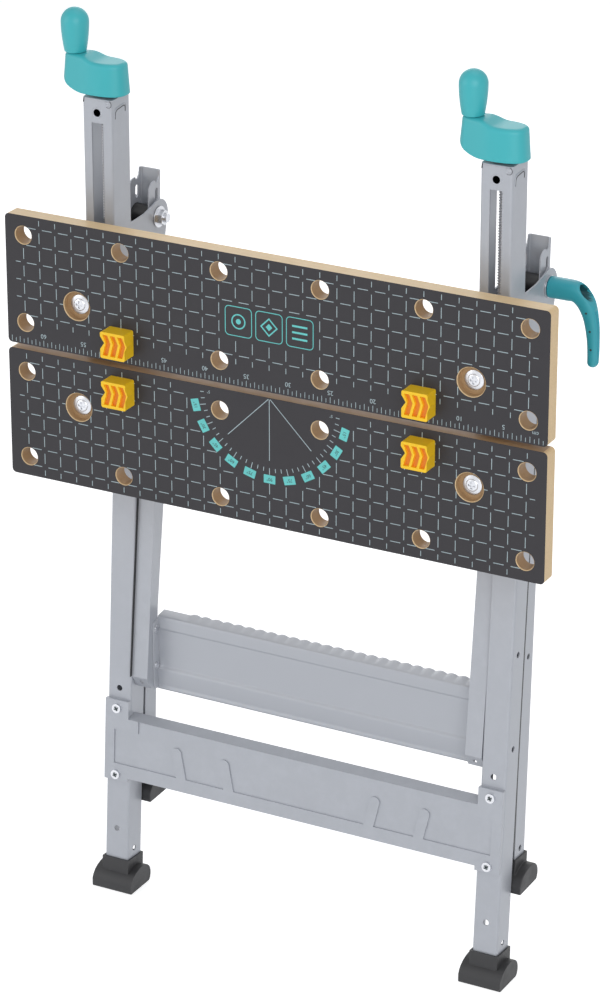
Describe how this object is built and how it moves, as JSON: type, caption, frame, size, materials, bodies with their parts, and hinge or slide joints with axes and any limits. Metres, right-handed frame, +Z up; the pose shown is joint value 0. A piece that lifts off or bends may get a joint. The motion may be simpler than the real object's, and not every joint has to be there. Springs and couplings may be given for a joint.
{
  "type": "folding workbench",
  "caption": "Folding vice workbench on pressed-steel legs, stored upright, with drilled boards opened by cranks, a swing-out tray, a clamp lever and push-in bench dogs.",
  "frame": {"origin": "on the floor, under the middle of the folded bench's bounding box", "axes": "+Z up, +X along the boards to the side with the clamp lever, and the worktop faces -Y"},
  "size_m": [0.645, 0.1858, 1.0423],
  "materials": {
    "painted_steel": "semi-gloss silver-grey paint on pressed sheet",
    "zinc_steel": "bright zinc plate",
    "board_face": "fibreboard with a dark satin film on its front, light core",
    "crank_plastic": "satin moulded",
    "lever_plastic": "satin moulded",
    "foot_plastic": "matt moulded",
    "black_plastic": "matt moulded",
    "dog_plastic": "satin moulded"
  },
  "bodies": {
    "frame": {"front_leg_left": "painted_steel", "front_leg_right": "painted_steel", "front_foot_left": "foot_plastic", "front_foot_right": "foot_plastic", "front_crossbar": "painted_steel", "crossbar_screws": "zinc_steel", "pivot_bolt_left": "zinc_steel", "pivot_bolt_right": "zinc_steel", "pivot_nut_left": "zinc_steel", "pivot_washers": "zinc_steel", "pivot_sleeves": "black_plastic", "tray_pivot_pins": "zinc_steel"},
    "rear_frame": {"rear_leg_left": "painted_steel", "rear_leg_right": "painted_steel", "rear_foot_left": "foot_plastic", "rear_foot_right": "foot_plastic", "rear_crossbar": "painted_steel", "rear_crossbar_bolts": "zinc_steel"},
    "tray": {"tray_pan": "painted_steel", "tray_arm_left": "painted_steel", "tray_arm_right": "painted_steel", "tray_rivets": "zinc_steel"},
    "table": {"rail_left": "painted_steel", "rail_right": "painted_steel", "lower_board": "board_face", "lower_bracket_left": "zinc_steel", "lower_bracket_right": "zinc_steel", "lower_board_screws": "zinc_steel", "lower_bracket_bolts": "zinc_steel", "spindle_bushes": "black_plastic"},
    "jaw": {"upper_board": "board_face", "jaw_carrier_left": "zinc_steel", "jaw_carrier_right": "zinc_steel", "spindle_nut_left": "black_plastic", "spindle_nut_right": "black_plastic", "upper_board_screws": "zinc_steel", "carrier_screws": "zinc_steel"},
    "crank_left": {"spindle_left": "zinc_steel", "crank_arm_left": "crank_plastic", "crank_pin_left": "zinc_steel"},
    "knob_left": {"knob_left": "crank_plastic"},
    "crank_right": {"spindle_right": "zinc_steel", "crank_arm_right": "crank_plastic", "crank_pin_right": "zinc_steel"},
    "knob_right": {"knob_right": "crank_plastic"},
    "clamp_lever": {"clamp_lever": "lever_plastic"},
    "dog_1": {"dog_1": "dog_plastic"},
    "dog_2": {"dog_2": "dog_plastic"},
    "dog_3": {"dog_3": "dog_plastic"},
    "dog_4": {"dog_4": "dog_plastic"}
  },
  "joints": [
    {"name": "rear_leg_spread", "type": "hinge", "parent": "frame", "child": "rear_frame", "pos_m": [0, 0.0726, 0.793], "axis": [1, 0, 0], "range_deg": [0, 38]},
    {"name": "table_tilt", "type": "hinge", "parent": "frame", "child": "table", "pos_m": [0, 0.0726, 0.793], "axis": [1, 0, 0], "range_deg": [-90, 0]},
    {"name": "tray_swing", "type": "hinge", "parent": "frame", "child": "tray", "pos_m": [0, 0.03754, 0.50373], "axis": [1, 0, 0], "range_deg": [0, 115]},
    {"name": "clamp_lever_turn", "type": "hinge", "parent": "frame", "child": "clamp_lever", "pos_m": [0, 0.0726, 0.793], "axis": [1, 0, 0], "range_deg": [-90, 90]},
    {"name": "crank_left_turn", "type": "hinge", "parent": "table", "child": "crank_left", "pos_m": [-0.235, -0.0049, 0], "axis": [0, 0, 1], "range_deg": [0, 9600]},
    {"name": "crank_right_turn", "type": "hinge", "parent": "table", "child": "crank_right", "pos_m": [0.235, -0.0049, 0], "axis": [0, 0, 1], "range_deg": [0, 9600]},
    {"name": "jaw_slide", "type": "slide", "parent": "table", "child": "jaw", "axis": [0, 0, 1], "range_m": [0, 0.16]},
    {"name": "knob_left_spin", "type": "hinge", "parent": "crank_left", "child": "knob_left", "pos_m": [-0.271, -0.0049, 0], "axis": [0, 0, 1], "continuous": true},
    {"name": "knob_right_spin", "type": "hinge", "parent": "crank_right", "child": "knob_right", "pos_m": [0.199, -0.0049, 0], "axis": [0, 0, 1], "continuous": true},
    {"name": "dog_1_pull", "type": "slide", "parent": "jaw", "child": "dog_1", "axis": [0, -1, 0], "range_m": [0, 0.045]},
    {"name": "dog_2_pull", "type": "slide", "parent": "jaw", "child": "dog_2", "axis": [0, -1, 0], "range_m": [0, 0.045]},
    {"name": "dog_3_pull", "type": "slide", "parent": "table", "child": "dog_3", "axis": [0, -1, 0], "range_m": [0, 0.045]},
    {"name": "dog_4_pull", "type": "slide", "parent": "table", "child": "dog_4", "axis": [0, -1, 0], "range_m": [0, 0.045]}
  ],
  "couplings": [
    {"joint": "crank_left_turn", "follows": "jaw_slide", "rad_per_m": 1047.2},
    {"joint": "crank_right_turn", "follows": "jaw_slide", "rad_per_m": 1047.2}
  ]
}
